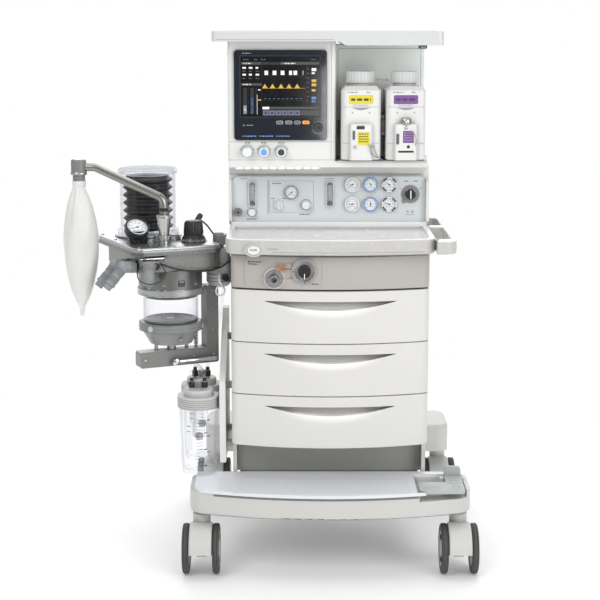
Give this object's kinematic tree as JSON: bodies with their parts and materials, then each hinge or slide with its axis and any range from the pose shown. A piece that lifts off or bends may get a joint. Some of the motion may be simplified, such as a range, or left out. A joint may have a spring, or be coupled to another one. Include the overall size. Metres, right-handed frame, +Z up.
{
  "type": "anesthesia machine",
  "caption": "Wheeled anesthesia workstation with drawers, worktop, gauge and display panels, vaporizers and a swivelling breathing system with bellows, absorber and bag.",
  "frame": {"origin": "on the floor under the middle of the whole machine's bounding box", "axes": "+Z up, the drawers and display face -Y, +X to the right of someone facing the machine"},
  "size_m": [1.0788, 0.7645, 1.389],
  "materials": {
    "enamel_frame": "light grey-white enamel on an alloy frame",
    "white_paint": "smooth light grey-white enamel",
    "white_plastic": "satin white moulding",
    "drawer_white": "satin white moulding",
    "grey_trim": "light grey moulding",
    "foot_plate": "grey ribbed moulding",
    "panel_grey": "mid grey moulding",
    "gauge_blue": "blue-grey printed panel",
    "instrument": "polished bezels, white dials behind glass",
    "display_glass": "near-black glass front",
    "knob_white": "white control knob",
    "knob_dark": "black control knob",
    "green_button": "flush valve button",
    "pedal_grey": "grey-green pedal",
    "castor_grey": "light grey hood",
    "tyre": "black tyre on grey hub",
    "steel": "zinc plated steel",
    "chrome": "polished chrome",
    "casting": "satin machined casting",
    "brass": "machined brass",
    "bracket_grey": "grey enamel",
    "elbow_grey": "grey moulded fittings",
    "clear": "clear moulding",
    "bellows_rubber": "black pleated rubber",
    "bag_rubber": "off-white latex-free bag",
    "vaporizer_shell": "light enamel on an alloy case",
    "internal": "alloy boxes and blocks"
  },
  "bodies": {
    "machine": {"base_frame": "enamel_frame", "base_footrest": "foot_plate", "cabinet_shell": "enamel_frame", "drawer_runners": "steel", "lower_front_panel": "panel_grey", "gas_ports": "chrome", "work_table": "white_plastic", "side_handle": "grey_trim", "gauge_panel": "gauge_blue", "panel_instruments": "instrument", "upper_housing": "white_paint", "display_panel": "display_glass", "top_shelf": "grey_trim", "vaporizer_manifold": "casting", "rear_cover": "white_paint", "gas_inlets": "brass", "gas_and_power_module": "internal", "swivel_bracket": "grey_trim", "suction_rail": "grey_trim", "suction_jars": "clear", "vaporizer_left": "vaporizer_shell", "vaporizer_right": "vaporizer_shell"},
    "castor_front_left": {"castor_hood_front_left": "castor_grey"},
    "wheels_front_left": {"castor_wheels_front_left": "tyre"},
    "castor_front_right": {"castor_hood_front_right": "castor_grey"},
    "wheels_front_right": {"castor_wheels_front_right": "tyre"},
    "castor_rear_left": {"castor_hood_rear_left": "castor_grey"},
    "wheels_rear_left": {"castor_wheels_rear_left": "tyre"},
    "castor_rear_right": {"castor_hood_rear_right": "castor_grey"},
    "wheels_rear_right": {"castor_wheels_rear_right": "tyre"},
    "drawer_top": {"drawer_top": "drawer_white"},
    "drawer_middle": {"drawer_middle": "drawer_white"},
    "drawer_bottom": {"drawer_bottom": "drawer_white"},
    "brake_pedal": {"brake_pedal": "pedal_grey"},
    "oxygen_flush_button": {"oxygen_flush_button": "green_button"},
    "acgo_selector": {"acgo_selector": "knob_dark"},
    "flow_knob_left": {"flow_knob_left": "knob_white"},
    "flow_knob_middle": {"flow_knob_middle": "knob_white"},
    "flow_knob_right": {"flow_knob_right": "knob_white"},
    "encoder_knob": {"encoder_knob": "knob_dark"},
    "system_switch": {"system_switch": "chrome"},
    "aux_oxygen_knob": {"aux_oxygen_knob": "knob_white"},
    "suction_selector": {"suction_selector": "knob_white"},
    "suction_regulator": {"suction_regulator_knob": "knob_white"},
    "vaporizer_dial_left": {"vaporizer_dial_left": "grey_trim"},
    "vaporizer_dial_right": {"vaporizer_dial_right": "grey_trim"},
    "breathing_system": {"breathing_block": "casting", "breathing_plate": "casting", "canister_bracket": "bracket_grey", "hose_elbows": "elbow_grey", "airway_gauge": "knob_dark", "bellows_dome": "clear"},
    "bellows": {"bellows": "bellows_rubber"},
    "cam_lever": {"cam_lever": "chrome"},
    "absorber_canister": {"canister_jar": "clear", "canister_bowl": "elbow_grey"},
    "apl_knob": {"apl_knob": "knob_dark"},
    "bag_vent_lever": {"bag_vent_lever": "knob_dark"},
    "bag_arm": {"bag_arm": "chrome", "breathing_bag": "bag_rubber"}
  },
  "joints": [
    {"name": "castor_front_left_swivel", "type": "hinge", "parent": "machine", "child": "castor_front_left", "pos_m": [-0.176, -0.276, 0.178], "axis": [0, 0, 1], "continuous": true},
    {"name": "wheels_front_left_roll", "type": "hinge", "parent": "castor_front_left", "child": "wheels_front_left", "pos_m": [-0.176, -0.308, 0.065], "axis": [1, 0, 0], "continuous": true},
    {"name": "castor_front_right_swivel", "type": "hinge", "parent": "machine", "child": "castor_front_right", "pos_m": [0.492, -0.276, 0.178], "axis": [0, 0, 1], "continuous": true},
    {"name": "wheels_front_right_roll", "type": "hinge", "parent": "castor_front_right", "child": "wheels_front_right", "pos_m": [0.492, -0.308, 0.065], "axis": [1, 0, 0], "continuous": true},
    {"name": "castor_rear_left_swivel", "type": "hinge", "parent": "machine", "child": "castor_rear_left", "pos_m": [-0.176, 0.347, 0.178], "axis": [0, 0, 1], "continuous": true},
    {"name": "wheels_rear_left_roll", "type": "hinge", "parent": "castor_rear_left", "child": "wheels_rear_left", "pos_m": [-0.176, 0.315, 0.065], "axis": [1, 0, 0], "continuous": true},
    {"name": "castor_rear_right_swivel", "type": "hinge", "parent": "machine", "child": "castor_rear_right", "pos_m": [0.492, 0.347, 0.178], "axis": [0, 0, 1], "continuous": true},
    {"name": "wheels_rear_right_roll", "type": "hinge", "parent": "castor_rear_right", "child": "wheels_rear_right", "pos_m": [0.492, 0.315, 0.065], "axis": [1, 0, 0], "continuous": true},
    {"name": "drawer_top_slide", "type": "slide", "parent": "machine", "child": "drawer_top", "axis": [0, -1, 0], "range_m": [0, 0.3]},
    {"name": "drawer_middle_slide", "type": "slide", "parent": "machine", "child": "drawer_middle", "axis": [0, -1, 0], "range_m": [0, 0.3]},
    {"name": "drawer_bottom_slide", "type": "slide", "parent": "machine", "child": "drawer_bottom", "axis": [0, -1, 0], "range_m": [0, 0.3]},
    {"name": "brake_pedal_rock", "type": "hinge", "parent": "machine", "child": "brake_pedal", "pos_m": [0.482, -0.215, 0.222], "axis": [1, 0, 0], "range_deg": [-4, 7]},
    {"name": "oxygen_flush_press", "type": "slide", "parent": "machine", "child": "oxygen_flush_button", "axis": [0, 1, 0], "range_m": [0, 0.005]},
    {"name": "acgo_selector_turn", "type": "hinge", "parent": "machine", "child": "acgo_selector", "pos_m": [0.0915, -0.25, 0.785], "axis": [0, 1, 0], "range_deg": [0, 90]},
    {"name": "flow_knob_left_turn", "type": "hinge", "parent": "machine", "child": "flow_knob_left", "pos_m": [-0.058, -0.11, 1.077], "axis": [0, -1, 0], "range_deg": [0, 1080]},
    {"name": "flow_knob_middle_turn", "type": "hinge", "parent": "machine", "child": "flow_knob_middle", "pos_m": [-0.014, -0.11, 1.077], "axis": [0, -1, 0], "range_deg": [0, 1080]},
    {"name": "flow_knob_right_turn", "type": "hinge", "parent": "machine", "child": "flow_knob_right", "pos_m": [0.031, -0.11, 1.077], "axis": [0, -1, 0], "range_deg": [0, 1080]},
    {"name": "encoder_turn", "type": "hinge", "parent": "machine", "child": "encoder_knob", "pos_m": [0.128, -0.11, 1.141], "axis": [0, -1, 0], "continuous": true},
    {"name": "system_switch_turn", "type": "hinge", "parent": "machine", "child": "system_switch", "pos_m": [0.378, 0.005, 0.954], "axis": [0, -1, 0], "range_deg": [-90, 0]},
    {"name": "aux_oxygen_turn", "type": "hinge", "parent": "machine", "child": "aux_oxygen_knob", "pos_m": [-0.05, 0.005, 0.905], "axis": [0, -1, 0], "range_deg": [0, 720]},
    {"name": "suction_selector_turn", "type": "hinge", "parent": "machine", "child": "suction_selector", "pos_m": [0.022, 0.005, 0.924], "axis": [0, -1, 0], "range_deg": [-45, 45]},
    {"name": "suction_regulator_turn", "type": "hinge", "parent": "machine", "child": "suction_regulator", "pos_m": [0.096, 0.005, 0.925], "axis": [0, -1, 0], "range_deg": [0, 720]},
    {"name": "vaporizer_dial_left_turn", "type": "hinge", "parent": "machine", "child": "vaporizer_dial_left", "pos_m": [0.238, -0.07, 1.27], "axis": [0, 0, 1], "range_deg": [0, 270]},
    {"name": "vaporizer_dial_right_turn", "type": "hinge", "parent": "machine", "child": "vaporizer_dial_right", "pos_m": [0.354, -0.07, 1.27], "axis": [0, 0, 1], "range_deg": [0, 270]},
    {"name": "breathing_swivel", "type": "hinge", "parent": "machine", "child": "breathing_system", "pos_m": [-0.136, -0.07, 0.79], "axis": [0, 0, -1], "range_deg": [-10, 25]},
    {"name": "bellows_collapse", "type": "slide", "parent": "breathing_system", "child": "bellows", "axis": [0, 0, 1], "range_m": [-0.1, 0], "deforming": ["bellows"]},
    {"name": "cam_lever_turn", "type": "hinge", "parent": "breathing_system", "child": "cam_lever", "pos_m": [-0.26324, -0.10947, 0.524], "axis": [-0.4226, 0.9063, 0], "range_deg": [0, 40]},
    {"name": "canister_drop", "type": "slide", "parent": "breathing_system", "child": "absorber_canister", "axis": [0, 0, 1], "range_m": [-0.0121, 0]},
    {"name": "apl_knob_turn", "type": "hinge", "parent": "breathing_system", "child": "apl_knob", "pos_m": [-0.20125, -0.10043, 0.86], "axis": [0, 0, -1], "range_deg": [0, 300]},
    {"name": "bag_vent_lever_flip", "type": "hinge", "parent": "breathing_system", "child": "bag_vent_lever", "pos_m": [-0.21839, -0.04001, 0.852], "axis": [-0.4226, 0.9063, 0], "range_deg": [-70, 0]},
    {"name": "bag_arm_swivel", "type": "hinge", "parent": "breathing_system", "child": "bag_arm", "pos_m": [-0.27527, -0.14046, 0.9], "axis": [0, 0, 1], "range_deg": [-15, 90]}
  ],
  "couplings": [
    {"joint": "canister_drop", "follows": "cam_lever_turn", "m_per_rad": -0.017189}
  ]
}
